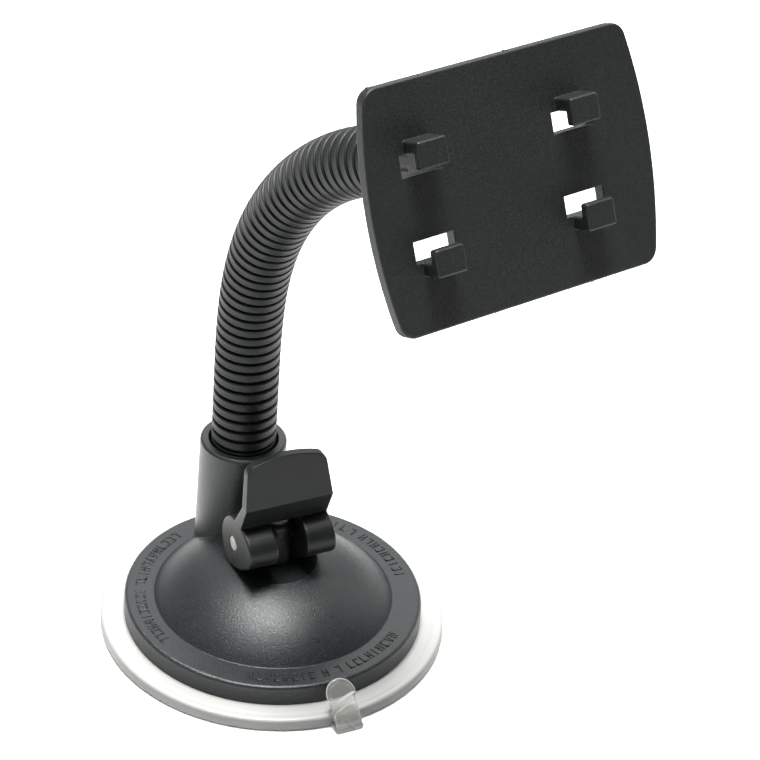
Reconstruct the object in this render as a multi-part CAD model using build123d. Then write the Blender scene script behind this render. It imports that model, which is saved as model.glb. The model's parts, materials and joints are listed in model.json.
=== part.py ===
from build123d import *
import os
from math import cos, radians, sin, sqrt

# Gooseneck suction holder for a portable navigator.
# Millimetres. The origin is the centre of the suction disc's underside, +Z is up, +X runs along the
# lever's pivot pin, and +Y points from the disc's centre to the neck socket.

# Suction disc
DISC_RADIUS = 39.7
DISC_THICKNESS = 3.1
DISC_EDGE_FILLET = 0.9
BOSS_INNER_RADIUS = 7.4
BOSS_OUTER_RADIUS = 9.4
BOSS_TOP = 7.0

# Lift tab at the front edge of the disc
TAB_X = 0.5
TAB_WIDTH = 6.6
TAB_THICKNESS = 1.1
TAB_ROOT_Y = -41.4
TAB_ROOT_Z = 1.5
TAB_ROOT_RADIUS = 1.0
TAB_LENGTH = 10.4
TAB_LEAN = 27.0
TAB_SADDLE_GAP = 0.1
TAB_BAR_UP = 4.4
TAB_BAR_INSET = 0.6
TAB_BAR_SIZE = (1.0, 0.8)
TAB_FOOT_OUT = 43.0
TAB_FOOT_TOP = 1.3

# Base shell
SHELL_RADIUS = 34.3
SHELL_BOTTOM = DISC_THICKNESS
RING_TOP = 8.0
RING_FILLET = 0.9
DOME_RADIUS = 27.5
DOME_BULGE = 1.35
LAND_RADIUS = 11.3
LAND_EDGE_Z = 17.6
LAND_Z = 18.0
PAD_RADIUS = 9.6
SHELL_WALL = 2.2
GUIDE_RADIUS = 4.9
GUIDE_BOTTOM = 10.0

# Neck socket, part of the base shell
SOCKET_Y = 20.5
SOCKET_RIM_Z = 38.4
SOCKET_RIM_RADIUS = 10.0
SOCKET_FOOT_RADIUS = 10.6
SOCKET_FOOT_Z = 6.4
SOCKET_FLOOR_Z = 9.0
SOCKET_BORE_RADIUS = 8.05

# Neck: a steel core in a corrugated sheath, in eight stretches. The first is held in the socket.
# Each stretch turns its plane of bending about the neck by its twist, then bends evenly.
NECK_HEADING = -97.0
NECK_FIRST_JOINT = 6.0
NECK_PITCH = 16.0
NECK_BENDS = (0.0, 0.0, 11.0, 10.0, 11.2, 12.7, 13.1, 11.5)
NECK_TWISTS = (0.0, 0.0, 0.0, 23.0, 10.0, -6.0, -6.5, 0.0)
NECK_FOOT_Z = 12.2
# A stretch ends short of its joint by "gap", and its round end rises past the joint by "rise".
SHEATH = {"radius": 7.45, "bore": 5.0, "dome": 6.7, "gap": 1.0, "rise": 2.0}
CORE = {"radius": 4.4, "bore": 0, "dome": 4.0, "gap": 0.6, "rise": 4.0}
DOME_STEP = 0.2
JOINT_GAP = 0.18

# Lower ferrule and its screw
FERRULE_RADIUS = 8.0
FERRULE_BORE = 7.5
FERRULE_TOP_Z = 30.0
SCREW_RADIUS = 1.5
SCREW_HEAD_RADIUS = 3.1
SCREW_HEAD_Z = 4.0

# Upper end of the neck. Distances run back from the ball's centre along the neck's end.
BALL_RADIUS = 6.5
BALL_REACH = 18.5
STUD_RADIUS = 2.6
COLLAR_RADIUS = 8.4
COLLAR_TAPER_FROM = 13.5
COLLAR_TIP = 9.5
COLLAR_TIP_RADIUS = 5.0
COLLAR_BACK = 20.4
CORE_SPIGOT = 4.0

# Lever, plunger and pin
PIN_Y = 0.3
PIN_Z = 24.8
PIN_RADIUS = 1.9
LEVER_HALF_WIDTH = 10.65
KNUCKLE_INNER = 3.55
CAM_GAP = 0.12
POST_RADIUS = 3.3
POST_ROOM_TOP = 6.4
KNUCKLE_ROUNDING = 0.5
KNUCKLE_FOOT_Y = 1.2
KNUCKLE_OUTLINE = (
    (-2.8, -5.4), (-7.2, -2.6), (-9.8, 0.5), (-9.4, 3.3), (-5.6, 6.2), (-0.6, 6.9), (3.7, 5.3), (6.4, 1.4),
    (5.0, -4.8),
)
# Side view of the paddle: it leans forward up to a crease, then back to its top edge.
PADDLE_SIDE = ((-3.0, 4.6), (-6.4, 13.1), (-3.3, 24.4), (-1.5, 24.4), (-4.0, 12.9), (1.0, 4.6))
PADDLE_TOP = 24.2
PADDLE_CROWN = 1.6
PADDLE_CREASE = 13.1
PADDLE_NARROWING = 1.1
PADDLE_CORNER = 2.4
PADDLE_REACH = 20.0
POST_TOP = 29.2
PLUNGER_FOOT_RADIUS = 7.1
PLUNGER_FOOT_Z = 3.4
PLUNGER_FOOT_HEIGHT = 1.6
RUNNING_FIT = 0.05

# Return spring round the plunger
SPRING_RADIUS = 6.0
SPRING_WIRE = 0.5
SPRING_TURNS = 4.5

# Carrier plate. Its own frame has X to the right, Y up and Z out of its front face.
PLATE_YAW = 9.1
PLATE_TILT = 23.6
PLATE_THICKNESS = 2.7
PLATE_HALF_HEIGHT = 24.65
PLATE_LEFT = -30.9
PLATE_RIGHT = 36.2
PLATE_SIDE_RADIUS = 109.0
PLATE_CORNER = 3.4
BALL_DEPTH = 14.9
BALL_PLATE_Y = 1.97
CLAW_X = 18.1
CLAW_WIDTH = 6.8
CLAW_INNER = 7.85
CLAW_STEM_INNER = 10.6
CLAW_OUTER = 13.35
CLAW_HEIGHT = 5.2
CLAW_HEAD = 1.9
CLAW_ROUNDING = 0.55
SLOT_LENGTH = 9.5
SLOT_INNER = 6.25
NUB_RADIUS = 0.45
NUB_PLACES = ((-26.2, 1), (5.8, 1), (17.5, -1))

# Ball joint. Every shell is centred on the ball.
LINER_THICKNESS = 0.74
LINER_REACH = 110.0
SEAT_THICKNESS = 1.0
SEAT_REACH = 116.0
BALL_FIT = 0.06
HOUSING_RADIUS = 10.4
HOUSING_PAST_BALL = 2.9
CLAMP_RADIUS = 12.8
CLAMP_FRONT_DEPTH = 7.6
CLAMP_PAST_BALL = 4.6
CLAMP_MOUTH = 7.3
CLAMP_FLUTES = 28
CLAMP_FLUTE_RADIUS = 0.55
CLAMP_FLUTE_FRONT = 1.0
RIB_THICKNESS = 1.6
RIB_REACH = 20.8

UP = Vector(0, 0, 1)


def disc(radius, bottom, top, x=0.0, y=0.0):
    """An upright cylinder between two heights."""
    return Pos(x, y, bottom) * extrude(Circle(radius), top - bottom)


def block(low, high):
    """A box between two corners."""
    size = [b - a for a, b in zip(low, high)]
    middle = [(a + b) / 2 for a, b in zip(low, high)]
    return Pos(*middle) * Box(*size)


def spun(points):
    """A solid of revolution about Z from a closed outline of (radius, height) points."""
    face = make_face(Polyline(*points, close=True))
    return revolve(Plane.XZ * face, Axis.Z)


def edges_at(solid, axis, where, reach=0.02):
    """The edges whose centre lies at one height along an axis."""
    return solid.edges().filter_by_position(axis, where - reach, where + reach)


# Suction foot

def suction_disc():
    body = disc(DISC_RADIUS, 0, DISC_THICKNESS)
    body = fillet(edges_at(body, Axis.Z, DISC_THICKNESS), DISC_EDGE_FILLET)
    boss = disc(BOSS_OUTER_RADIUS, DISC_THICKNESS - 0.5, BOSS_TOP)
    body = body + (boss - disc(BOSS_INNER_RADIUS, DISC_THICKNESS, BOSS_TOP + 1))
    foot = block(
        (TAB_X - TAB_WIDTH / 2, -TAB_FOOT_OUT, 0),
        (TAB_X + TAB_WIDTH / 2, -DISC_RADIUS + 2, TAB_FOOT_TOP),
    )
    saddle = Pos(TAB_X, TAB_ROOT_Y, TAB_ROOT_Z) * Rot(0, 90, 0)
    saddle = saddle * Cylinder(TAB_ROOT_RADIUS + TAB_SADDLE_GAP, TAB_WIDTH + 2)
    swing_room = block(
        (TAB_X - TAB_WIDTH / 2 - 0.3, -TAB_FOOT_OUT + 0.6, TAB_FOOT_TOP),
        (TAB_X + TAB_WIDTH / 2 + 0.3, -DISC_RADIUS + 0.5, BOSS_TOP),
    )
    return body + foot - saddle - swing_room


def lift_tab():
    """A flat tongue with a half-round end on a round root, with a grip bar across its front."""
    half = TAB_WIDTH / 2
    straight = TAB_LENGTH - half
    outline = (
        Line((-half, 0), (half, 0))
        + Line((half, 0), (half, straight))
        + ThreePointArc((half, straight), (0, TAB_LENGTH), (-half, straight))
        + Line((-half, straight), (-half, 0))
    )
    tongue = Pos(0, 0, -TAB_THICKNESS / 2) * extrude(make_face(outline), TAB_THICKNESS)
    bar = Pos(0, TAB_BAR_UP, TAB_THICKNESS / 2) * Box(TAB_WIDTH - 2 * TAB_BAR_INSET, *TAB_BAR_SIZE)
    root = Rot(0, 90, 0) * Cylinder(TAB_ROOT_RADIUS, TAB_WIDTH)
    lean = Pos(TAB_X, TAB_ROOT_Y, TAB_ROOT_Z) * Rot(90 - TAB_LEAN, 0, 0)
    return lean * (tongue + bar + root)


def dome_line(outset):
    """The base shell's dome in section, as an arc from the ring to the land, moved outwards."""
    foot = Vector(DOME_RADIUS, RING_TOP)
    head = Vector(LAND_RADIUS, LAND_EDGE_Z)
    across = head - foot
    outward = Vector(across.Y, -across.X).normalized()
    middle = (foot + head) * 0.5 + outward * DOME_BULGE
    shift = outward * outset
    return [(p.X, p.Y) for p in (foot + shift, middle + shift, head + shift)]


def base_shell():
    foot, middle, head = dome_line(0)
    outer = (
        Line((0, SHELL_BOTTOM), (SHELL_RADIUS, SHELL_BOTTOM))
        + Line((SHELL_RADIUS, SHELL_BOTTOM), (SHELL_RADIUS, RING_TOP))
        + Line((SHELL_RADIUS, RING_TOP), foot)
        + ThreePointArc(foot, middle, head)
        + Line(head, (PAD_RADIUS, LAND_Z))
        + Line((PAD_RADIUS, LAND_Z), (0, LAND_Z))
        + Line((0, LAND_Z), (0, SHELL_BOTTOM))
    )
    shell = revolve(Plane.XZ * make_face(outer), Axis.Z)
    rim = edges_at(shell, Axis.Z, RING_TOP).sort_by(SortBy.RADIUS)[-1]
    shell = fillet(rim, RING_FILLET)

    socket = loft(
        [
            Pos(0, SOCKET_Y, SOCKET_FOOT_Z) * Circle(SOCKET_FOOT_RADIUS),
            Pos(0, SOCKET_Y, SOCKET_RIM_Z) * Circle(SOCKET_RIM_RADIUS),
        ]
    )
    socket = chamfer(edges_at(socket, Axis.Z, SOCKET_RIM_Z), 0.5)

    foot_in, middle_in, head_in = dome_line(-SHELL_WALL)
    ceiling = LAND_Z - SHELL_WALL
    wall = SHELL_RADIUS - SHELL_WALL
    hollow = (
        Line((0, SHELL_BOTTOM), (wall, SHELL_BOTTOM))
        + Line((wall, SHELL_BOTTOM), (wall, foot_in[1]))
        + Line((wall, foot_in[1]), foot_in)
        + ThreePointArc(foot_in, middle_in, head_in)
        + Line(head_in, (PAD_RADIUS, ceiling))
        + Line((PAD_RADIUS, ceiling), (0, ceiling))
        + Line((0, ceiling), (0, SHELL_BOTTOM))
    )
    inside = revolve(Plane.XZ * make_face(hollow), Axis.Z)
    shell = shell - inside
    shell = shell + disc(GUIDE_RADIUS, GUIDE_BOTTOM, ceiling + 0.5)
    shell = shell + socket
    shell = shell - disc(SOCKET_BORE_RADIUS, SOCKET_FLOOR_Z, SOCKET_RIM_Z + 1, y=SOCKET_Y)
    shell = shell - disc(SCREW_RADIUS + RUNNING_FIT, 0, SOCKET_FLOOR_Z + 1, y=SOCKET_Y)
    return shell - disc(POST_RADIUS + RUNNING_FIT, 0, LAND_Z + 1)


# Lever, plunger, pin and spring

def plunger():
    foot = disc(PLUNGER_FOOT_RADIUS, PLUNGER_FOOT_Z, PLUNGER_FOOT_Z + PLUNGER_FOOT_HEIGHT)
    post = disc(POST_RADIUS, PLUNGER_FOOT_Z, POST_TOP)
    post = fillet(edges_at(post, Axis.Z, POST_TOP), 1.2)
    eye = Pos(0, PIN_Y, PIN_Z) * Rot(0, 90, 0) * Cylinder(PIN_RADIUS, 3 * POST_RADIUS)
    return foot + post - eye


def pivot_pin():
    pin = Rot(0, 90, 0) * Cylinder(PIN_RADIUS, 2 * LEVER_HALF_WIDTH)
    pin = chamfer(pin.edges().filter_by(GeomType.CIRCLE), 0.25)
    return Pos(0, PIN_Y, PIN_Z) * pin


def knuckle_face():
    """Section of a knuckle about the pin: a foot on the land, and a nose that lifts the pin."""
    foot = PIN_Z - LAND_Z - CAM_GAP
    return make_face(Spline((KNUCKLE_FOOT_Y, -foot), *KNUCKLE_OUTLINE, periodic=True))


def cam_lever():
    side = Plane((0, PIN_Y, PIN_Z), x_dir=(0, 1, 0), z_dir=(1, 0, 0))
    knuckle = side * extrude(knuckle_face(), LEVER_HALF_WIDTH - KNUCKLE_INNER)
    knuckle = fillet(knuckle.edges(), KNUCKLE_ROUNDING)
    knuckles = [Pos(x, 0, 0) * knuckle for x in (KNUCKLE_INNER, -LEVER_HALF_WIDTH)]
    paddle = side * extrude(make_face(Polyline(*PADDLE_SIDE, close=True)), 2 * LEVER_HALF_WIDTH)
    paddle = Pos(-LEVER_HALF_WIDTH, 0, 0) * paddle
    low = PIN_Z - PADDLE_REACH
    crease = PIN_Z + PADDLE_CREASE
    shoulder = PIN_Z + PADDLE_TOP - PADDLE_CROWN
    narrow = LEVER_HALF_WIDTH - PADDLE_NARROWING
    front = (
        Line((-LEVER_HALF_WIDTH, low), (LEVER_HALF_WIDTH, low))
        + Line((LEVER_HALF_WIDTH, low), (LEVER_HALF_WIDTH, crease))
        + Line((LEVER_HALF_WIDTH, crease), (narrow, shoulder))
        + ThreePointArc((narrow, shoulder), (0, PIN_Z + PADDLE_TOP), (-narrow, shoulder))
        + Line((-narrow, shoulder), (-LEVER_HALF_WIDTH, crease))
        + Line((-LEVER_HALF_WIDTH, crease), (-LEVER_HALF_WIDTH, low))
    )
    window = make_face(front)
    window = fillet(window.vertices().group_by(Axis.Y)[-1], PADDLE_CORNER)
    window = Pos(0, PADDLE_REACH, 0) * (Plane.XZ * extrude(window, 2 * PADDLE_REACH))
    paddle = paddle & window
    lever = paddle + knuckles[0] + knuckles[1]
    post_room = block(
        (-KNUCKLE_INNER, PIN_Y - PADDLE_REACH, PIN_Z - PADDLE_REACH),
        (KNUCKLE_INNER, PIN_Y + PADDLE_REACH, PIN_Z + POST_ROOM_TOP),
    )
    lever = lever - post_room
    bore = Rot(0, 90, 0) * Cylinder(PIN_RADIUS + RUNNING_FIT, 3 * LEVER_HALF_WIDTH)
    return lever - Pos(0, PIN_Y, PIN_Z) * bore


def return_spring():
    low = PLUNGER_FOOT_Z + PLUNGER_FOOT_HEIGHT + SPRING_WIRE + 0.05
    high = LAND_Z - SHELL_WALL - SPRING_WIRE - 0.05
    path = Helix(pitch=(high - low) / SPRING_TURNS, height=high - low, radius=SPRING_RADIUS)
    start = Plane(origin=path @ 0, z_dir=path % 0)
    return Pos(0, 0, low) * sweep(start * Circle(SPRING_WIRE), path=path)


# Neck

class Station:
    """A place on the neck's centre line: a point, the way the neck runs, and the side that it bends to."""

    def __init__(self, point, along, inward):
        self.point = point
        self.along = along
        self.inward = inward
        self.plane = Plane(origin=point, x_dir=inward, z_dir=along)

    def onward(self, length, bend):
        """The next place, after an even bend."""
        if bend == 0:
            return Station(self.point + self.along * length, self.along, self.inward)
        turn = radians(bend)
        radius = length / turn
        point = self.point + self.inward * (radius * (1 - cos(turn))) + self.along * (radius * sin(turn))
        along = self.along * cos(turn) + self.inward * sin(turn)
        inward = self.inward * cos(turn) - self.along * sin(turn)
        return Station(point, along, inward)

    def twisted(self, twist):
        """The same place with its plane of bending turned about the neck."""
        turn = radians(twist)
        sideways = self.along.cross(self.inward)
        return Station(self.point, self.along, self.inward * cos(turn) + sideways * sin(turn))


def neck_stretches():
    """The neck's stretches as (start, length, bend), from the socket up, and the neck's end."""
    inward = Vector(cos(radians(NECK_HEADING)), sin(radians(NECK_HEADING)), 0)
    at = Station(Vector(0, SOCKET_Y, NECK_FOOT_Z), UP, inward)
    stretches = []
    for k, (bend, twist) in enumerate(zip(NECK_BENDS, NECK_TWISTS)):
        at = at.twisted(twist)
        length = NECK_PITCH if k else SOCKET_RIM_Z + NECK_FIRST_JOINT - NECK_FOOT_Z
        stretches.append((at, length, bend))
        at = at.onward(length, bend)
    return stretches, at


def bent_rod(radius, bore, length, bend):
    """A round rod or tube that starts at the origin along +Z and bends evenly towards +X."""
    section = Circle(radius)
    if bore:
        section = section - Circle(bore)
    if bend == 0:
        return extrude(section, length)
    arm = length / radians(bend)
    return revolve(section, Axis((arm, 0, 0), (0, 1, 0)), bend)


def neck_stretch(start, length, bend, form, first=False, last=False):
    """One stretch of sheath or core, with a round end that the next stretch turns on."""
    rate = bend / length
    low = 0 if first else form["gap"]
    high = length if last else length - form["gap"]
    foot = start.onward(low, rate * low)
    rod = foot.plane.location * bent_rod(form["radius"], form["bore"], high - low, rate * (high - low))
    if not last:
        shoulder = start.onward(high, rate * high).plane.location
        joint = start.onward(length, bend).plane.location
        zone = Circle(2 * form["dome"])
        if form["bore"]:
            zone = zone - Circle(form["bore"] + DOME_STEP)
        dome = (joint * Sphere(form["dome"])) & (shoulder * extrude(zone, form["gap"] + form["rise"]))
        rod = rod + dome
    if not first:
        rod = rod - start.plane.location * Sphere(form["dome"] + JOINT_GAP)
    return rod


def neck_parts():
    """Sheath and core stretches. The first stands in the socket, and the last ends in the collar."""
    stretches, tip = neck_stretches()
    final = len(stretches) - 1
    parts = {}
    for k, (start, length, bend) in enumerate(stretches):
        for name, form in (("sheath", SHEATH), ("core", CORE)):
            parts[f"neck_{name}_{k}"] = neck_stretch(start, length, bend, form, k == 0, k == final)
    spigot = tip.plane.location * extrude(Circle(CORE["radius"]), CORE_SPIGOT)
    parts[f"neck_core_{final}"] = parts[f"neck_core_{final}"] + spigot
    return parts


def lower_ferrule():
    cup = disc(FERRULE_RADIUS, SOCKET_FLOOR_Z, FERRULE_TOP_Z, y=SOCKET_Y)
    cup = cup - disc(FERRULE_BORE, NECK_FOOT_Z, FERRULE_TOP_Z + 1, y=SOCKET_Y)
    return cup - disc(SCREW_RADIUS, SOCKET_FLOOR_Z - 1, NECK_FOOT_Z + 1, y=SOCKET_Y)


def ferrule_screw():
    shank = disc(SCREW_RADIUS, SCREW_HEAD_Z, NECK_FOOT_Z, y=SOCKET_Y)
    head = disc(SCREW_HEAD_RADIUS, SCREW_HEAD_Z, SOCKET_FOOT_Z, y=SOCKET_Y)
    head = fillet(edges_at(head, Axis.Z, SCREW_HEAD_Z), 0.8)
    slot = block(
        (-SCREW_HEAD_RADIUS, SOCKET_Y - 0.4, SCREW_HEAD_Z - 1),
        (SCREW_HEAD_RADIUS, SOCKET_Y + 0.4, SCREW_HEAD_Z + 0.8),
    )
    return head + shank - slot


# Ball end. These are drawn with the ball at the origin and the neck coming up from below.

def neck_collar():
    outline = [
        (COLLAR_RADIUS, -COLLAR_BACK),
        (COLLAR_RADIUS, -COLLAR_TAPER_FROM),
        (COLLAR_TIP_RADIUS, -COLLAR_TIP),
        (STUD_RADIUS, -COLLAR_TIP),
        (STUD_RADIUS, -COLLAR_TAPER_FROM),
        (CORE["radius"] + 1.0, -COLLAR_TAPER_FROM),
        (CORE["radius"] + 1.0, -BALL_REACH),
        (SHEATH["radius"] + 0.35, -BALL_REACH),
        (SHEATH["radius"] + 0.35, -COLLAR_BACK),
    ]
    return spun(outline)


def upper_ferrule():
    outline = [
        (CORE["radius"], -BALL_REACH),
        (CORE["radius"] + 0.9, -BALL_REACH),
        (CORE["radius"] + 0.9, -COLLAR_TAPER_FROM - 0.05),
        (0, -COLLAR_TAPER_FROM - 0.05),
        (0, -BALL_REACH + CORE_SPIGOT),
        (CORE["radius"], -BALL_REACH + CORE_SPIGOT),
    ]
    return spun(outline)


def ball_stud():
    ball = Sphere(BALL_RADIUS)
    stud = disc(STUD_RADIUS - 0.01, -COLLAR_TAPER_FROM + 0.02, 0)
    return ball + stud


# Plate end. These are drawn in the plate's own frame.

def ball_shell(inner, thickness, reach):
    """A round cup about the ball, open at the back, reaching so many degrees from the front."""
    cup = Sphere(inner + thickness) - Sphere(inner)
    edge = (inner + thickness) * cos(radians(reach))
    keep = disc(2 * BALL_RADIUS, edge, 3 * BALL_RADIUS)
    return Pos(0, BALL_PLATE_Y, -BALL_DEPTH) * (cup & keep)


def liner_inner():
    return BALL_RADIUS + BALL_FIT


def seat_inner():
    return liner_inner() + LINER_THICKNESS + BALL_FIT


def seat_room():
    return seat_inner() + SEAT_THICKNESS + BALL_FIT


def plate_blank():
    def edge_x(side):
        inset = PLATE_SIDE_RADIUS - sqrt(PLATE_SIDE_RADIUS**2 - PLATE_HALF_HEIGHT**2)
        return PLATE_RIGHT - inset if side > 0 else PLATE_LEFT + inset

    high = PLATE_HALF_HEIGHT
    left, right = edge_x(-1), edge_x(1)
    outline = (
        Line((left, -high), (right, -high))
        + ThreePointArc((right, -high), (PLATE_RIGHT, 0), (right, high))
        + Line((right, high), (left, high))
        + ThreePointArc((left, high), (PLATE_LEFT, 0), (left, -high))
    )
    face = make_face(outline)
    face = fillet(face.vertices(), PLATE_CORNER)
    plate = Pos(0, 0, -PLATE_THICKNESS) * extrude(face, PLATE_THICKNESS)
    plate = fillet(edges_at(plate, Axis.Z, 0), 0.45)
    return fillet(edges_at(plate, Axis.Z, -PLATE_THICKNESS), 0.3)


def claw(x, side):
    """An L-shaped claw: a stem out of the plate and a head that points at the plate's middle."""
    low, high = x - CLAW_WIDTH / 2, x + CLAW_WIDTH / 2
    stem = block((low, CLAW_STEM_INNER, -0.5), (high, CLAW_OUTER, CLAW_HEIGHT))
    head = block((low, CLAW_INNER, CLAW_HEIGHT - CLAW_HEAD), (high, CLAW_OUTER, CLAW_HEIGHT))
    hook = stem + head
    hook = fillet(hook.edges().filter_by(Axis.Z), CLAW_ROUNDING)
    hook = fillet(edges_at(hook, Axis.Z, CLAW_HEIGHT), CLAW_ROUNDING - 0.05)
    if side < 0:
        hook = mirror(hook, Plane.XZ)
    return hook


def device_plate():
    plate = plate_blank()
    for x in (-CLAW_X, CLAW_X):
        for side in (1, -1):
            ends = sorted((side * SLOT_INNER, side * CLAW_STEM_INNER))
            slot = block(
                (x - SLOT_LENGTH / 2, ends[0], -PLATE_THICKNESS - 1),
                (x + SLOT_LENGTH / 2, ends[1], 1),
            )
            plate = plate - slot
            plate = plate + claw(x, side)
    # Moulding nubs left on the rim
    for x, side in NUB_PLACES:
        rim = side * (PLATE_HALF_HEIGHT - NUB_RADIUS / 2)
        plate = plate + disc(NUB_RADIUS, -0.7 * PLATE_THICKNESS, -0.3 * PLATE_THICKNESS, x=x, y=rim)
    plate = plate + disc(
        HOUSING_RADIUS, -BALL_DEPTH - HOUSING_PAST_BALL, -PLATE_THICKNESS + 0.5, y=BALL_PLATE_Y
    )
    plate = plate + rear_ribs()
    return plate - Pos(0, BALL_PLATE_Y, -BALL_DEPTH) * Sphere(seat_room())


def rear_ribs():
    """Four triangular ribs that brace the ball housing on the plate's back."""
    outline = [
        (HOUSING_RADIUS - 1.0, -PLATE_THICKNESS + 0.5),
        (RIB_REACH, -PLATE_THICKNESS + 0.5),
        (RIB_REACH, -PLATE_THICKNESS - 0.4),
        (HOUSING_RADIUS + 0.3, -CLAMP_FRONT_DEPTH + 0.6),
        (HOUSING_RADIUS - 1.0, -CLAMP_FRONT_DEPTH + 0.6),
    ]
    rib = extrude(Plane.XZ * make_face(Polyline(*outline, close=True)), RIB_THICKNESS / 2, both=True)
    ribs = [Rot(0, 0, 90 * i) * rib for i in range(4)]
    return Pos(0, BALL_PLATE_Y, 0) * (ribs[0] + ribs[1] + ribs[2] + ribs[3])


def clamp_ring():
    front = BALL_DEPTH - CLAMP_FRONT_DEPTH
    ring = disc(CLAMP_RADIUS, -CLAMP_PAST_BALL, front)
    ring = fillet(edges_at(ring, Axis.Z, -CLAMP_PAST_BALL), 1.0)
    ring = fillet(edges_at(ring, Axis.Z, front), 0.5)
    ring = ring - disc(HOUSING_RADIUS + 0.1, -HOUSING_PAST_BALL - 0.1, front + 1)
    ring = ring - Sphere(seat_room()) - disc(CLAMP_MOUTH, -CLAMP_PAST_BALL - 1, 0)
    for i in range(CLAMP_FLUTES):
        flute = disc(CLAMP_FLUTE_RADIUS, -CLAMP_PAST_BALL - 1, CLAMP_FLUTE_FRONT, x=CLAMP_RADIUS + 0.15)
        ring = ring - Rot(0, 0, 360 * i / CLAMP_FLUTES) * flute
    return Pos(0, BALL_PLATE_Y, -BALL_DEPTH) * ring


def plate_place(ball):
    """The plate's frame, which carries the ball's place in it to the ball."""
    yaw, tilt = radians(PLATE_YAW), radians(PLATE_TILT)
    right = Vector(cos(yaw), sin(yaw), 0)
    normal = Vector(sin(yaw) * cos(tilt), -cos(yaw) * cos(tilt), sin(tilt))
    upward = normal.cross(right)
    centre = ball + normal * BALL_DEPTH - upward * BALL_PLATE_Y
    return Plane(origin=centre, x_dir=right, z_dir=normal)


def build():
    parts = {
        "suction_disc": suction_disc(),
        "lift_tab": lift_tab(),
        "base_shell": base_shell(),
        "plunger": plunger(),
        "pivot_pin": pivot_pin(),
        "cam_lever": cam_lever(),
        "return_spring": return_spring(),
        "lower_ferrule": lower_ferrule(),
        "ferrule_screw": ferrule_screw(),
    }
    parts.update(neck_parts())

    tip = neck_stretches()[1]
    ball = tip.point + tip.along * BALL_REACH
    neck_end = Plane(origin=ball, x_dir=tip.inward, z_dir=tip.along).location
    parts["neck_collar"] = neck_end * neck_collar()
    parts["upper_ferrule"] = neck_end * upper_ferrule()
    parts["ball_stud"] = neck_end * ball_stud()

    plate = plate_place(ball)
    liner = ball_shell(liner_inner(), LINER_THICKNESS, LINER_REACH)
    seat = ball_shell(seat_inner(), SEAT_THICKNESS, SEAT_REACH)
    parts["ball_liner"] = plate.location * liner
    parts["ball_seat"] = plate.location * seat
    parts["device_plate"] = plate.location * device_plate()
    parts["clamp_ring"] = plate.location * clamp_ring()
    return parts, ball, plate


def main():
    os.makedirs("parts", exist_ok=True)
    parts, ball, plate = build()
    for name, shape in parts.items():
        export_step(shape, f"parts/{name}.step")
    for k, (start, _, _) in enumerate(neck_stretches()[0][1:]):
        point, along, inward = start.point, start.along, start.inward
        print(f"neck joint {k + 1}: {point.X:.4f} {point.Y:.4f} {point.Z:.4f}")
        print(f"neck along {k + 1}: {along.X:.5f} {along.Y:.5f} {along.Z:.5f}")
        print(f"neck inward {k + 1}: {inward.X:.5f} {inward.Y:.5f} {inward.Z:.5f}")
    print(f"ball: {ball.X:.4f} {ball.Y:.4f} {ball.Z:.4f}")
    for name, v in (("centre", plate.origin), ("x", plate.x_dir), ("y", plate.y_dir), ("z", plate.z_dir)):
        print(f"plate {name}: {v.X:.5f} {v.Y:.5f} {v.Z:.5f}")


main()
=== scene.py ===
import json
from math import atan2, cos, pi, radians, sin, sqrt, tan

import bmesh
import bpy
from mathutils import Matrix, Vector


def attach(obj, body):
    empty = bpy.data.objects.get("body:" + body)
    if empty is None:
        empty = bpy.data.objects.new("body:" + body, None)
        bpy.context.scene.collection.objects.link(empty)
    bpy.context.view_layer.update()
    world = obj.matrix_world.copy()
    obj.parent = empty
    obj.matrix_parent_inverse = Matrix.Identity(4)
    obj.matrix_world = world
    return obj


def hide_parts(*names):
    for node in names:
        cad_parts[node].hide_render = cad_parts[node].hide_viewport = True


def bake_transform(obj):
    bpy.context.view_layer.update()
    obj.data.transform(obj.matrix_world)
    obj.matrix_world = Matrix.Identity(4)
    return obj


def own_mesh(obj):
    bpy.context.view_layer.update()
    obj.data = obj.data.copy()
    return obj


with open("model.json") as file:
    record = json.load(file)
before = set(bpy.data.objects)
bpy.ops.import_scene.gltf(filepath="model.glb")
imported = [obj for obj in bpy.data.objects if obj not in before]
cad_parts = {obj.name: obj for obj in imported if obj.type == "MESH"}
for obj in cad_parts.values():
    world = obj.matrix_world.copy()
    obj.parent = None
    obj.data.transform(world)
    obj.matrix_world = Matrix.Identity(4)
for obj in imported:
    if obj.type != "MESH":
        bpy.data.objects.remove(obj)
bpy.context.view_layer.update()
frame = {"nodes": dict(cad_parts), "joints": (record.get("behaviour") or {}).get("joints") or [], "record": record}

# A gooseneck suction holder, dressed over its CAD frame. Metres, in the CAD frame.

MM = 0.001
SCENE = bpy.context.scene
JOINTS = {j["name"]: j for j in frame["joints"]}

# Driving dimensions that the visible pieces share with the CAD parts
DISC_RADIUS = 39.7 * MM
DISC_THICKNESS = 3.1 * MM
RING_TOP = 8.0 * MM
SOCKET_Y = 20.5 * MM
SOCKET_RIM_Z = 38.4 * MM
SHEATH_RADIUS = 7.5 * MM
LAST_STRETCH = 16.0 * MM
LAST_BEND = radians(11.5)
TAB_LEAN = radians(27.0)
TAB_X = 0.5 * MM
TAB_VOXEL = 0.13 * MM


# ---------------------------------------------------------------- small helpers

def add_object(name, mesh, material):
    """Links a mesh as an object, with its material."""
    obj = bpy.data.objects.new(name, mesh)
    SCENE.collection.objects.link(obj)
    obj.data.materials.append(material)
    return obj


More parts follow.
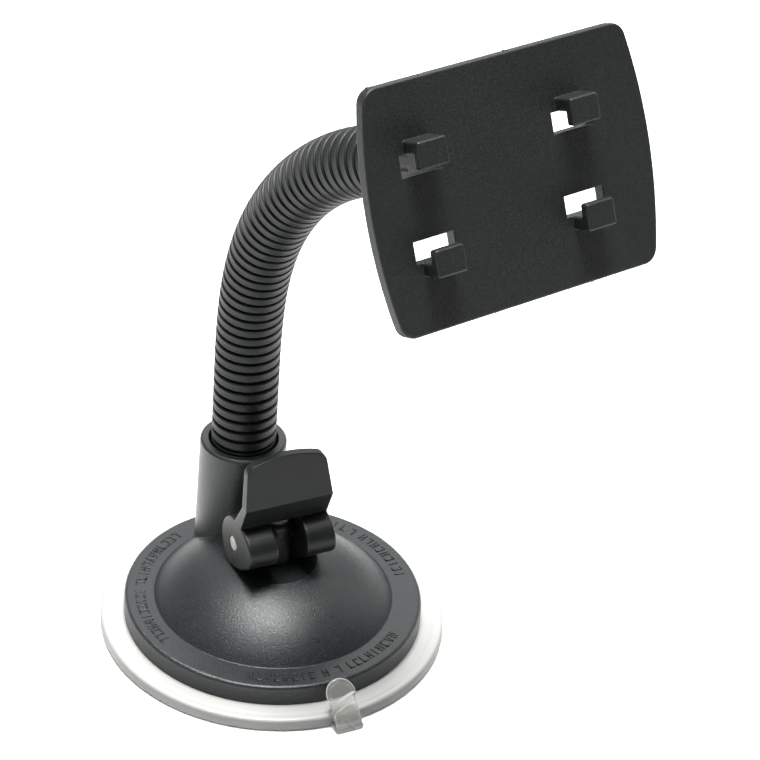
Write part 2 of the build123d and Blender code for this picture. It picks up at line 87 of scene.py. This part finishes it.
def mesh_from(name, verts, faces):
    """A smooth-shaded mesh with its faces turned outwards."""
    mesh = bpy.data.meshes.new(name)
    mesh.from_pydata([tuple(v) for v in verts], [], faces)
    mesh.update()
    bm = bmesh.new()
    bm.from_mesh(mesh)
    bmesh.ops.recalc_face_normals(bm, faces=bm.faces)
    bm.to_mesh(mesh)
    bm.free()
    for polygon in mesh.polygons:
        polygon.use_smooth = True
    return mesh


def mesh_of(bm, name):
    """Ends a bmesh and gives its mesh."""
    mesh = bpy.data.meshes.new(name)
    bm.to_mesh(mesh)
    bm.free()
    return mesh


def rings_to_mesh(name, rings):
    """A closed skin over rings of equal count, each a list of points, with a face over each end."""
    count = len(rings[0])
    verts = [p for ring in rings for p in ring]
    faces = []
    for i in range(len(rings) - 1):
        for j in range(count):
            k = (j + 1) % count
            faces.append((i * count + j, i * count + k, (i + 1) * count + k, (i + 1) * count + j))
    faces.append(tuple(reversed(range(count))))
    faces.append(tuple(range(len(verts) - count, len(verts))))
    return mesh_from(name, verts, faces)


def lathe(name, profile, steps):
    """A closed solid of revolution about the Z axis, from a closed (radius, height) outline."""
    verts, faces = [], []
    count = len(profile)
    for i in range(steps):
        a = 2 * pi * i / steps
        for r, z in profile:
            verts.append((r * cos(a), r * sin(a), z))
    for i in range(steps):
        n = (i + 1) % steps
        for j in range(count):
            k = (j + 1) % count
            faces.append((i * count + j, n * count + j, n * count + k, i * count + k))
    return mesh_from(name, verts, faces)


def arc_points(centre, radius, start, end, steps):
    """Points of an arc, both ends included."""
    return [
        (centre[0] + radius * cos(start + (end - start) * i / steps),
         centre[1] + radius * sin(start + (end - start) * i / steps))
        for i in range(steps + 1)
    ]


def sharp_by_angle(obj, angle):
    """Smooth shading that keeps the edges that turn by more than an angle."""
    mesh = obj.data
    bm = bmesh.new()
    bm.from_mesh(mesh)
    for edge in bm.edges:
        edge.smooth = not (len(edge.link_faces) == 2 and edge.calc_face_angle(0) > angle)
    bm.to_mesh(mesh)
    bm.free()


def solid_from_outline(bm, outline, low, high):
    """Adds a slab with a given outline, between two heights of the local third axis."""
    bottom = [bm.verts.new((x, y, low)) for x, y in outline]
    top = [bm.verts.new((x, y, high)) for x, y in outline]
    count = len(outline)
    bm.faces.new(list(reversed(bottom)))
    bm.faces.new(top)
    for i in range(count):
        k = (i + 1) % count
        bm.faces.new((bottom[i], bottom[k], top[k], top[i]))


def add_bead(bm, path, radius):
    """Adds a round bead along an open path of points in the local first two axes."""
    steps = 10
    rings = []
    for i, (x, y) in enumerate(path):
        ahead = path[min(i + 1, len(path) - 1)]
        behind = path[max(i - 1, 0)]
        dx, dy = ahead[0] - behind[0], ahead[1] - behind[1]
        size = sqrt(dx * dx + dy * dy)
        nx, ny = -dy / size, dx / size
        rings.append([
            bm.verts.new((x + nx * radius * cos(a), y + ny * radius * cos(a), radius * sin(a)))
            for a in (2 * pi * k / steps for k in range(steps))
        ])
    for a, b in zip(rings, rings[1:]):
        for k in range(steps):
            n = (k + 1) % steps
            bm.faces.new((a[k], a[n], b[n], b[k]))
    bm.faces.new(list(reversed(rings[0])))
    bm.faces.new(rings[-1])


def fuse(obj, voxel, smoothing):
    """Joins a piece's overlapping solids into one skin and softens it."""
    remesh = obj.modifiers.new("fuse", "REMESH")
    remesh.mode = "VOXEL"
    remesh.voxel_size = voxel
    remesh.use_smooth_shade = True
    soften = obj.modifiers.new("soften", "SMOOTH")
    soften.factor, soften.iterations = 0.5, smoothing
    bpy.context.view_layer.update()
    shaped = obj.evaluated_get(bpy.context.evaluated_depsgraph_get())
    mesh = bpy.data.meshes.new_from_object(shaped)
    obj.modifiers.clear()
    old, obj.data = obj.data, mesh
    bpy.data.meshes.remove(old)


# ---------------------------------------------------------------- materials

def node_tree(name):
    """A new material with a bare Principled shader."""
    material = bpy.data.materials.new(name)
    material.use_nodes = True
    tree = material.node_tree
    tree.nodes.clear()
    out = tree.nodes.new("ShaderNodeOutputMaterial")
    shader = tree.nodes.new("ShaderNodeBsdfPrincipled")
    tree.links.new(shader.outputs["BSDF"], out.inputs["Surface"])
    return material, tree, shader


def add_node(tree, kind, inputs=None, **settings):
    """A node with its settings, and each input linked or given a value."""
    node = tree.nodes.new(kind)
    for key, value in settings.items():
        setattr(node, key, value)
    for key, value in (inputs or {}).items():
        if isinstance(value, bpy.types.NodeSocket):
            tree.links.new(value, node.inputs[key])
        else:
            node.inputs[key].default_value = value
    return node


def noise_at(tree, scale, detail, roughness=0.5):
    """Noise with so many features a metre, fixed to the object."""
    where = add_node(tree, "ShaderNodeTexCoord").outputs["Object"]
    return add_node(
        tree, "ShaderNodeTexNoise",
        {"Vector": where, "Scale": scale, "Detail": detail, "Roughness": roughness},
    )


def ramp(tree, value, stops):
    """A colour ramp with (position, colour) stops."""
    node = add_node(tree, "ShaderNodeValToRGB", {"Fac": value})
    band = node.color_ramp
    while len(band.elements) < len(stops):
        band.elements.new(0.5)
    for element, (place, colour) in zip(band.elements, stops):
        element.position = place
        element.color = (*colour, 1.0)
    return node.outputs["Color"]


def mix_colour(tree, share, a, b):
    """Colour a where share is 0, b where it is 1."""
    node = tree.nodes.new("ShaderNodeMix")
    node.data_type = "RGBA"
    for socket, value in (("Factor", share), ("A", a), ("B", b)):
        found = [s for s in node.inputs if s.name == socket and s.type in ("RGBA", "VALUE")]
        target = found[0] if socket == "Factor" else [s for s in found if s.type == "RGBA"][0]
        if isinstance(value, bpy.types.NodeSocket):
            tree.links.new(value, target)
        else:
            target.default_value = value if socket == "Factor" else (*value, 1.0)
    return [s for s in node.outputs if s.type == "RGBA"][0]


def to_range(tree, value, low, high, from_low=0.0, from_high=1.0):
    """Maps from_low..from_high to low..high, held at the ends."""
    node = add_node(
        tree, "ShaderNodeMapRange",
        {"Value": value, "From Min": from_low, "From Max": from_high, "To Min": low, "To Max": high},
    )
    return node.outputs["Result"]


def mottle(tree, value, colour, change):
    """A colour that noise darkens and lightens by a share."""
    dark = [c * (1 - change) for c in colour]
    light = [c * (1 + change) for c in colour]
    return ramp(tree, value, [(0.3, dark), (0.7, light)])


def edge_mask(tree, radius):
    """1 on sharp outer edges, 0 on flats: how far a rounded normal leans from the true one."""
    rounded = add_node(tree, "ShaderNodeBevel", {"Radius": radius}, samples=6)
    true = add_node(tree, "ShaderNodeNewGeometry")
    lean = add_node(
        tree, "ShaderNodeVectorMath",
        {0: rounded.outputs["Normal"], 1: true.outputs["Normal"]}, operation="DOT_PRODUCT",
    )
    return to_range(tree, lean.outputs["Value"], 1.0, 0.0, 0.65, 0.98)


def moulded_plastic(name, colour, light, roughness, grain=2400.0, depth=0.03 * MM,
                    speckle=0.5, wear=0.25, edge=0.4 * MM, specular=0.5):
    """Moulded plastic with a fine eroded grain, slight mottling and worn, shinier edges.

    grain is in features a metre. speckle and wear are the light colour's share, on the grain's peaks and on
    rubbed edges.
    """
    material, tree, shader = node_tree(name)
    fine = noise_at(tree, grain, detail=3.0, roughness=0.7)
    broad = noise_at(tree, 60.0, detail=4.0, roughness=0.55)
    body = mottle(tree, broad.outputs["Fac"], colour, 0.12)
    peaks = to_range(tree, fine.outputs["Fac"], 0.0, speckle, 0.5, 0.85)
    body = mix_colour(tree, peaks, body, light)
    edges = edge_mask(tree, edge)
    rubbed = add_node(tree, "ShaderNodeMath", {0: edges, 1: broad.outputs["Fac"]}, operation="MULTIPLY")
    share = to_range(tree, rubbed.outputs["Value"], 0.0, wear, 0.2, 0.7)
    body = mix_colour(tree, share, body, light)
    tree.links.new(body, shader.inputs["Base Color"])
    rough = to_range(tree, fine.outputs["Fac"], roughness - 0.1, roughness + 0.1, 0.3, 0.7)
    smoothed = add_node(
        tree, "ShaderNodeMath", {0: rough, 1: to_range(tree, edges, 0.0, 0.14)}, operation="SUBTRACT"
    )
    tree.links.new(smoothed.outputs["Value"], shader.inputs["Roughness"])
    shader.inputs["Specular IOR Level"].default_value = specular
    rounded = add_node(tree, "ShaderNodeBevel", {"Radius": edge}, samples=8).outputs["Normal"]
    bump = add_node(
        tree, "ShaderNodeBump",
        {"Strength": 1.0, "Distance": depth, "Height": fine.outputs["Fac"], "Normal": rounded},
    )
    tree.links.new(bump.outputs["Normal"], shader.inputs["Normal"])
    return material


def metal(name, colour, roughness, painted_shade_reach=None):
    """Cut metal with fine tool marks and dull spots, and maybe a painted shade, nearly black, near the plane x =
    0.
    """
    material, tree, shader = node_tree(name)
    marks = noise_at(tree, 900.0, detail=4.0)
    dull = noise_at(tree, 700.0, detail=3.0)
    tint = ramp(tree, dull.outputs["Fac"], [(0.35, [c * 0.72 for c in colour]), (0.65, colour)])
    # Painted shade: near the plane x = 0 the colour falls to nearly black
    if painted_shade_reach:
        where = add_node(tree, "ShaderNodeTexCoord").outputs["Object"]
        place = add_node(tree, "ShaderNodeSeparateXYZ", {"Vector": where})
        reach = add_node(tree, "ShaderNodeMath", {0: place.outputs["X"]}, operation="ABSOLUTE")
        outside_painted_shade = to_range(tree, reach.outputs["Value"], 0.0, 1.0, painted_shade_reach, painted_shade_reach + 0.5 * MM)
        tint = mix_colour(tree, outside_painted_shade, [c * 0.03 for c in colour], tint)
    tree.links.new(tint, shader.inputs["Base Color"])
    shader.inputs["Metallic"].default_value = 1.0
    rough = to_range(tree, marks.outputs["Fac"], roughness - 0.08, roughness + 0.12, 0.3, 0.7)
    tree.links.new(rough, shader.inputs["Roughness"])
    bump = add_node(
        tree, "ShaderNodeBump", {"Strength": 0.6, "Distance": 0.01 * MM, "Height": marks.outputs["Fac"]}
    )
    tree.links.new(bump.outputs["Normal"], shader.inputs["Normal"])
    return material


def clear_pvc(name, milky, roughness, tint, painted_side_shade=0.0):
    """Soft clear PVC, a little milky, with faint flow marks and a matt bloom. Upright sides may get a painted
    shade, darker.
    """
    material, tree, shader = node_tree(name)
    flow = noise_at(tree, 50.0, detail=1.0)
    fine = noise_at(tree, 1500.0, detail=2.0)
    warm = [tint, tint * 0.993, tint * 0.96]
    body = mottle(tree, flow.outputs["Fac"], warm, 0.04)
    # Painted shade: faces that stand upright are coloured darker, towards 0.3 of the body's tint
    if painted_side_shade:
        normal = add_node(tree, "ShaderNodeTexCoord").outputs["Normal"]
        facing = add_node(tree, "ShaderNodeSeparateXYZ", {"Vector": normal})
        flat = add_node(tree, "ShaderNodeMath", {0: facing.outputs["Z"]}, operation="ABSOLUTE")
        painted_wall_shade = to_range(tree, flat.outputs["Value"], painted_side_shade, 0.0, 0.25, 0.9)
        body = mix_colour(tree, painted_wall_shade, body, [c * 0.3 for c in warm])
    tree.links.new(body, shader.inputs["Base Color"])
    rough = to_range(tree, flow.outputs["Fac"], roughness - 0.08, roughness + 0.08, 0.3, 0.7)
    tree.links.new(rough, shader.inputs["Roughness"])
    clear = to_range(tree, flow.outputs["Fac"], 0.96 - milky, 1.0 - milky, 0.3, 0.7)
    tree.links.new(clear, shader.inputs["Transmission Weight"])
    shader.inputs["IOR"].default_value = 1.45
    bump = add_node(
        tree, "ShaderNodeBump", {"Strength": 0.5, "Distance": 0.02 * MM, "Height": fine.outputs["Fac"]}
    )
    tree.links.new(bump.outputs["Normal"], shader.inputs["Normal"])
    return material


STEEL = (0.62, 0.60, 0.52)
# Each material's name, what makes it and its looks
LOOKS = {
    "shell_plastic": (moulded_plastic, dict(
        colour=(0.008, 0.0107, 0.0113), light=(0.082, 0.098, 0.10),
        roughness=0.35, grain=2600.0, depth=0.08 * MM, speckle=0.34, specular=0.48,
    )),
    "lever_plastic": (moulded_plastic, dict(
        colour=(0.006, 0.0072, 0.007), light=(0.10, 0.115, 0.11),
        roughness=0.38, depth=0.05 * MM, speckle=0.07, specular=0.34,
    )),
    "plate_plastic": (moulded_plastic, dict(
        colour=(0.0072, 0.0098, 0.008), light=(0.10, 0.11, 0.10),
        roughness=0.48, depth=0.05 * MM, speckle=0.1, wear=0.05, specular=0.4,
    )),
    "sheath_plastic": (moulded_plastic, dict(
        colour=(0.008, 0.0096, 0.0094), light=(0.075, 0.085, 0.085),
        roughness=0.46, depth=0.006 * MM, speckle=0.06, edge=0.1 * MM, specular=0.32,
    )),
    "acetal": (moulded_plastic, dict(colour=(0.70, 0.68, 0.62), light=(0.8, 0.8, 0.78), roughness=0.4)),
    "steel": (metal, dict(colour=STEEL, roughness=0.34)),
    # The pin's steel has a painted shade on its middle, which lies in shade between the lever's knuckles
    "pin_steel": (metal, dict(colour=STEEL, roughness=0.34, painted_shade_reach=6.0 * MM)),
    "core_steel": (metal, dict(colour=(0.36, 0.36, 0.36), roughness=0.45)),
    "ferrule_brass": (metal, dict(colour=(0.62, 0.47, 0.22), roughness=0.35)),
    # The disc's upright edge gets a painted shade
    "clear_pvc": (clear_pvc, dict(milky=0.65, roughness=0.35, tint=0.6, painted_side_shade=0.75)),
    "tab_pvc": (clear_pvc, dict(milky=0.12, roughness=0.14, tint=0.9)),
    # The foot block's upright sides get a faint painted shade
    "foot_pvc": (clear_pvc, dict(milky=0.5, roughness=0.25, tint=0.72, painted_side_shade=0.15)),
}
MATERIALS = {name: make(name, **look) for name, (make, look) in LOOKS.items()}


def dress_cad():
    """Gives each CAD node the material of its record slot, and the pin a steel with a painted shade on its middle.
    """
    for entry in frame["record"]["subparts"]:
        node = frame["nodes"][entry["node"]]
        node.data.materials.clear()
        node.data.materials.append(MATERIALS[entry["material_slot"]])
    frame["nodes"]["pivot_pin"].data.materials[0] = MATERIALS["pin_steel"]


# ---------------------------------------------------------------- neck

class Place:
    """A point of the neck's centre line, with the way it runs and the side that it bends to."""

    def __init__(self, point, along, inward):
        self.point, self.along, self.inward = Vector(point), along.normalized(), inward.normalized()

    def onward(self, length, bend):
        """The place at the end of an arc of a given length that turns by bend."""
        if abs(bend) < 1e-6:
            return Place(self.point + self.along * length, self.along, self.inward)
        arm = length / bend
        point = self.point + self.inward * arm * (1 - cos(bend)) + self.along * arm * sin(bend)
        along = self.along * cos(bend) + self.inward * sin(bend)
        inward = self.inward * cos(bend) - self.along * sin(bend)
        return Place(point, along, inward)


def neck_arcs():
    """The neck's stretches as (start place, length, bend), worked out from the joints' places."""
    names = sorted((n for n in JOINTS if n.startswith("neck_")), key=lambda n: int(n.rsplit("_", 1)[1]))
    at = Place((0, SOCKET_Y, SOCKET_RIM_Z), Vector((0, 0, 1)), Vector((0, -1, 0)))
    arcs = []
    for name in names:
        point = Vector(JOINTS[name]["pos_m"])
        chord = point - at.point
        ahead = chord.dot(at.along)
        across = chord - at.along * ahead
        half = atan2(across.length, ahead)
        if half > 1e-4:
            at = Place(at.point, at.along, across)
            arcs.append((at, chord.length * half / sin(half), 2 * half))
        else:
            arcs.append((at, chord.length, 0.0))
        end = at.onward(*arcs[-1][1:])
        at = Place(point, end.along, end.inward)
    return arcs + [(at, LAST_STRETCH, LAST_BEND)]


ARCS = neck_arcs()
HINGE_AT = [sum(a[1] for a in ARCS[:k + 1]) for k in range(len(ARCS) - 1)]


def neck_at(s):
    """The place on the neck's centre line, s metres past the socket's rim."""
    for start, length, bend in ARCS:
        if s <= length:
            return start.onward(s, bend * s / length)
        s -= length
    end = start.onward(length, bend)
    return end.onward(s, 0.0)


RIB_PITCH = 2.72 * MM
FIRST_GROOVE = 0.69 * MM
GROOVE_DEPTH = 0.85 * MM
# One rib's half profile in mm: distance from the rib's middle, and depth below the crown
RIB_HALF = (
    (0.0, 0.07), (0.4, 0.05), (0.66, 0.0), (0.8, 0.03), (0.92, 0.14), (1.0, 0.34), (1.05, 0.6), (1.1, 0.84),
    (1.17, 0.95),
)
RIB_STEPS = 72
# The ribs that the sleeves start and end at, counted from the socket's rim
SLEEVE_CUTS = (-3, 5, 11, 17, 23, 29, 35, 43)
# Half a length of neck about each hinge; make_sheath works out the ends of it but does not use them
BLEND_REACH = 5.5 * MM


def rib_rings(first_rib, last_rib):
    """Rings of points over whole ribs. A rib's crown stays rigid and only the grooves open or close."""

    def ring(place, offset, radius):
        centre = place.point + place.along * offset
        across = Vector((1, 0, 0)) - place.along * place.along.x
        across.normalize()
        upward = place.along.cross(across)
        return [
            centre + (across * cos(a) + upward * sin(a)) * radius
            for a in (2 * pi * i / RIB_STEPS for i in range(RIB_STEPS))
        ]

    def groove(rib):
        return ring(neck_at(FIRST_GROOVE + rib * RIB_PITCH), 0.0, SHEATH_RADIUS - GROOVE_DEPTH)

    rings = [groove(first_rib)]
    for rib in range(first_rib, last_rib):
        place = neck_at(FIRST_GROOVE + (rib + 0.5) * RIB_PITCH)
        profile = [(-d, c) for d, c in reversed(RIB_HALF[1:])] + list(RIB_HALF)
        for offset, drop in profile:
            rings.append(ring(place, offset * MM, SHEATH_RADIUS - drop * MM))
        rings.append(groove(rib + 1))
    return rings


def make_sheath():
    """Corrugated sleeves, one over each joint, that meet in the grooves between the joints."""
    for k, hinge in enumerate(HINGE_AT):
        mesh = rings_to_mesh(f"sheath_sleeve_{k + 1}", rib_rings(SLEEVE_CUTS[k], SLEEVE_CUTS[k + 1]))
        sleeve = add_object(mesh.name, mesh, MATERIALS["sheath_plastic"])
        start, end = neck_at(hinge - BLEND_REACH).point, neck_at(hinge + BLEND_REACH).point
        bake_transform(sleeve)
        if k == 0:
            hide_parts("neck_sheath_0", "neck_sheath_1")
        else:
            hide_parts(f"neck_sheath_{k + 1}")


# ---------------------------------------------------------------- suction disc and tab

def make_disc():
    """Clear disc: a flat rim, a rounded edge and a faint moulded groove on top."""
    low_round, high_round = 0.8 * MM, 0.9 * MM
    middle = 0.5 * MM
    underside = 0.02 * MM
    groove = DISC_THICKNESS - 0.12 * MM
    profile = [(middle, underside), (DISC_RADIUS - high_round, underside)]
    profile += arc_points((DISC_RADIUS - low_round, low_round), low_round, -pi / 2, 0, 6)
    profile += arc_points((DISC_RADIUS - high_round, DISC_THICKNESS - high_round), high_round, 0, pi / 2, 6)
    profile += [
        (38.2 * MM, DISC_THICKNESS), (37.9 * MM, groove), (37.5 * MM, groove), (37.2 * MM, DISC_THICKNESS),
        (35.2 * MM, DISC_THICKNESS), (middle, DISC_THICKNESS),
    ]
    mesh = lathe("clear_disc", profile, steps=192)
    disc = add_object("clear_disc", mesh, MATERIALS["clear_pvc"])
    sharp_by_angle(disc, radians(35))
    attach(disc, "foot")
    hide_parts("suction_disc")


def make_tab_foot():
    """The block at the disc's edge that the lift tab's root lies on."""
    half = 3.3 * MM
    low, high = -42.6 * MM, -39.2 * MM
    underside, thickness = 0.02 * MM, 1.2 * MM
    rounding = 0.3 * MM
    bm = bmesh.new()
    outline = [(TAB_X - half, low), (TAB_X + half, low), (TAB_X + half, high), (TAB_X - half, high)]
    solid_from_outline(bm, outline, underside, thickness)
    bmesh.ops.bevel(bm, geom=bm.edges[:], offset=rounding, segments=3, affect="EDGES")
    mesh = mesh_of(bm, "tab_foot")
    for polygon in mesh.polygons:
        polygon.use_smooth = True
    foot = add_object("tab_foot", mesh, MATERIALS["foot_pvc"])
    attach(foot, "foot")


def make_tab():
    """Clear lift tab: a skewed tongue with a thick rim, a slanting ledge, and a plain strap below it."""
    hinge = Vector(JOINTS["tab_flex"]["pos_m"])
    bm = bmesh.new()
    half = 2.95 * MM
    skew = -0.14
    slant = tan(radians(17.0))
    ledge = 5.9 * MM
    shoulder = 7.0 * MM
    top = 10.1 * MM
    skew_from = 1.5 * MM
    web, bead = 0.35 * MM, 0.55 * MM
    back, band_front, strap_front = 0.45 * MM, 0.75 * MM, 1.15 * MM
    strap_drop = 1.9 * MM
    root_low, root_high, root_back, root_front = -0.8 * MM, 1.0 * MM, 0.8 * MM, 0.9 * MM

    def at(x, v):
        return x + skew * max(0.0, v - skew_from), v

    arch = [
        at(half * cos(a), shoulder + (top - shoulder) * sin(a)) for a in (pi * i / 24 for i in range(25))
    ]
    solid_from_outline(bm, [at(-half, 0), at(half, 0)] + arch, -web, web)
    low_left, low_right = at(-half, ledge - 0.9 * MM), at(half, ledge + 0.9 * MM)
    add_bead(bm, [(low_right[0], low_right[1] - 0.6 * MM)] + arch + [low_left], bead)
    band = [
        at(-half, 0), at(half, 0), (low_right[0], ledge + slant * half), (low_left[0], ledge - slant * half),
    ]
    solid_from_outline(bm, band, -back, band_front)
    lower = [
        at(-half, 0), at(half, 0), (low_right[0], ledge - strap_drop + slant * half),
        (low_left[0], ledge - strap_drop - slant * half),
    ]
    solid_from_outline(bm, lower, -back, strap_front)
    root = [(-half, root_low), (half, root_low), (half, root_high), (-half, root_high)]
    solid_from_outline(bm, root, -root_back, root_front)
    mesh = mesh_of(bm, "clear_tab")
    mesh.transform(Matrix.Translation(hinge) @ Matrix.Rotation(pi / 2 - TAB_LEAN, 4, "X"))
    tab = add_object("clear_tab", mesh, MATERIALS["tab_pvc"])
    fuse(tab, TAB_VOXEL, smoothing=2)
    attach(tab, "tab")
    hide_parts("lift_tab")


# ---------------------------------------------------------------- base

SPRING_LOW = 5.55 * MM
SPRING_HIGH = 15.25 * MM
SPRING_RADIUS = 6.0 * MM
SPRING_WIRE = 0.5 * MM
SPRING_TURNS = 4.5


def make_spring():
    """Return spring round the plunger, at one fixed length."""
    steps, around = 216, 12
    rings = []
    for i in range(steps + 1):
        share = i / steps
        turn = 2 * pi * SPRING_TURNS * share
        out = Vector((cos(turn), sin(turn), 0))
        centre = out * SPRING_RADIUS + Vector((0, 0, SPRING_LOW + (SPRING_HIGH - SPRING_LOW) * share))
        rings.append([
            centre + (out * cos(a) + Vector((0, 0, 1)) * sin(a)) * SPRING_WIRE
            for a in (2 * pi * k / around for k in range(around))
        ])
    spring = add_object("spring_coil", rings_to_mesh("spring_coil", rings), MATERIALS["steel"])
    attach(spring, "foot")
    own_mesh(spring)
    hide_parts("return_spring")


# Rows of marks round the ring, from one angle to another in degrees
MARK_STRETCHES = ((-124, -98), (-92, -86), (-80, -52), (-167, -202), (-208, -246), (37, 28), (22, -8))
# Plain marks in place of lettering, each of straight strokes: start x, start y, end x, end y, in mm
MARKS = (
    ((0.0, -1.0, 0.0, 1.0), (0.0, 1.0, 0.9, 1.0)),
    ((0.0, -1.0, 0.0, 1.0), (0.9, -1.0, 0.9, 1.0), (0.0, 0.0, 0.9, 0.0)),
    ((0.0, 1.0, 0.9, 1.0), (0.0, -1.0, 0.9, -1.0), (0.0, -1.0, 0.0, 1.0)),
    ((0.4, -1.0, 0.4, 1.0),),
    ((0.0, -1.0, 0.5, 1.0), (0.5, 1.0, 1.0, -1.0)),
    ((0.0, -1.0, 0.9, -1.0), (0.9, -1.0, 0.9, 1.0)),
)
MARK_RADIUS = 30.7 * MM
# Degrees from one mark to the next
MARK_STEP = 3.4
STROKE = 0.42 * MM
STROKE_HEIGHT = 0.42 * MM
STROKE_ROUNDING = 0.09 * MM
# How far a stroke's middle lies below the ring's top
STROKE_SUNK = 0.04 * MM


def make_ring_marks():
    """Low raised marks moulded on the ring, in short rows, of kinds that follow a fixed shuffle."""
    bm = bmesh.new()
    kind = 0
    for start, end in MARK_STRETCHES:
        count = max(1, int(abs(end - start) / MARK_STEP))
        for i in range(count + 1):
            turn = Matrix.Rotation(radians(start + (end - start) * i / count), 4, "Z")
            kind = (kind * 5 + 7 + i) % 31
            for x0, y0, x1, y1 in MARKS[kind % len(MARKS)]:
                long = sqrt((x1 - x0) ** 2 + (y1 - y0) ** 2) * MM + STROKE
                centre = ((y0 + y1) / 2 * MM + MARK_RADIUS, (x0 + x1) / 2 * MM, RING_TOP - STROKE_SUNK)
                along = Matrix.Rotation(atan2(x1 - x0, y1 - y0), 4, "Z")
                size = Matrix.Diagonal((long, STROKE, STROKE_HEIGHT, 1.0))
                bmesh.ops.create_cube(bm, size=1.0, matrix=turn @ Matrix.Translation(centre) @ along @ size)
    bmesh.ops.bevel(bm, geom=bm.edges[:], offset=STROKE_ROUNDING, segments=2, affect="EDGES")
    marks = add_object("ring_marks", mesh_of(bm, "ring_marks"), MATERIALS["shell_plastic"])
    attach(marks, "foot")


# ---------------------------------------------------------------- stage

def make_floor():
    """A plain pale floor."""
    half = 4.0
    corners = [(-half, -half, 0), (half, -half, 0), (half, half, 0), (-half, half, 0)]
    mesh = mesh_from("floor", corners, [(0, 1, 2, 3)])
    material, tree, shader = node_tree("floor_white")
    shade = noise_at(tree, 3.0, detail=2.0)
    tone = ramp(tree, shade.outputs["Fac"], [(0.3, (0.90, 0.90, 0.90)), (0.7, (0.93, 0.93, 0.93))])
    tree.links.new(tone, shader.inputs["Base Color"])
    shader.inputs["Roughness"].default_value = 0.7
    shader.inputs["Specular IOR Level"].default_value = 0.2
    floor = add_object("floor", mesh, material)


# name, place, size, power in watts
SOFTBOXES = (
    ("top_softbox", (-0.01, 0.02, 1.0), (0.32, 0.32), 22.0),
    ("left_softbox", (-1.0, 0.15, 0.55), (0.5, 0.9), 0.2),
    ("right_softbox", (0.9, 0.2, 0.6), (0.5, 0.7), 1.5),
    ("back_softbox", (0.45, 1.1, 0.95), (1.2, 0.7), 6.0),
)
# The point that the softboxes face, and the way to the brightest part of the world
LIT_POINT = Vector((0.01, 0, 0.07))
BRIGHT_WAY = (0.12, 0.69, 0.7)


def area_light(name, place, size, power):
    """A softbox that faces the lit point."""
    data = bpy.data.lights.new(name, "AREA")
    data.shape = "RECTANGLE"
    data.size, data.size_y = size
    data.energy = power
    light = bpy.data.objects.new(name, data)
    SCENE.collection.objects.link(light)
    light.location = place
    light.rotation_euler = (LIT_POINT - Vector(place)).to_track_quat("-Z", "Y").to_euler()


def make_light():
    """A soft world that is brightest above and behind, and the softboxes."""
    world = bpy.data.worlds.new("studio")
    SCENE.world = world
    world.use_nodes = True
    tree = world.node_tree
    tree.nodes.clear()
    where = add_node(tree, "ShaderNodeTexCoord").outputs["Generated"]
    toward = add_node(tree, "ShaderNodeVectorMath", {0: where, 1: BRIGHT_WAY}, operation="DOT_PRODUCT")
    level = to_range(tree, toward.outputs["Value"], 0.0, 1.0, -0.7, 1.0)
    tone = ramp(
        tree, level, [(0.0, (0.10, 0.10, 0.10)), (0.45, (0.32, 0.32, 0.33)), (1.0, (1.0, 1.0, 1.0))]
    )
    back = add_node(tree, "ShaderNodeBackground", {"Color": tone, "Strength": 0.6})
    out = tree.nodes.new("ShaderNodeOutputWorld")
    tree.links.new(back.outputs["Background"], out.inputs["Surface"])
    for name, place, size, power in SOFTBOXES:
        area_light(name, place, size, power)


# Where the camera looks from, about the disc's centre, in metres, and how it then turns. The lens is in mm.
VIEW_AZIMUTH = radians(-25.5)
VIEW_ELEVATION = radians(38.61)
VIEW_DISTANCE = 0.7201
VIEW_PAN = radians(-1.762)
VIEW_TILT = radians(4.538)
VIEW_ROLL = radians(3.055)
VIEW_LENS = 146.17


def make_camera():
    """A long lens from the front left and above, panned and tilted a little off the disc's centre."""
    right = Vector((1, 0, 0))
    ahead = Vector((0, cos(VIEW_ELEVATION), -sin(VIEW_ELEVATION)))
    upward = Vector((0, sin(VIEW_ELEVATION), cos(VIEW_ELEVATION)))
    place = ahead * -VIEW_DISTANCE
    panned = ahead * cos(VIEW_PAN) - right * sin(VIEW_PAN)
    right = right * cos(VIEW_PAN) + ahead * sin(VIEW_PAN)
    look = panned * cos(VIEW_TILT) + upward * sin(VIEW_TILT)
    upward = upward * cos(VIEW_TILT) - panned * sin(VIEW_TILT)
    x_axis = right * cos(VIEW_ROLL) + upward * sin(VIEW_ROLL)
    y_axis = upward * cos(VIEW_ROLL) - right * sin(VIEW_ROLL)
    data = bpy.data.cameras.new("camera")
    data.lens = VIEW_LENS
    data.sensor_width = 36.0
    camera = bpy.data.objects.new("camera", data)
    SCENE.collection.objects.link(camera)
    axes = Matrix((x_axis, y_axis, -look)).transposed().to_4x4()
    camera.matrix_world = Matrix.Rotation(VIEW_AZIMUTH, 4, "Z") @ Matrix.Translation(place) @ axes
    SCENE.camera = camera


dress_cad()
make_sheath()
make_disc()
make_tab_foot()
make_tab()
make_ring_marks()
make_spring()
make_floor()
make_light()
make_camera()
SCENE.view_settings.view_transform = "Standard"
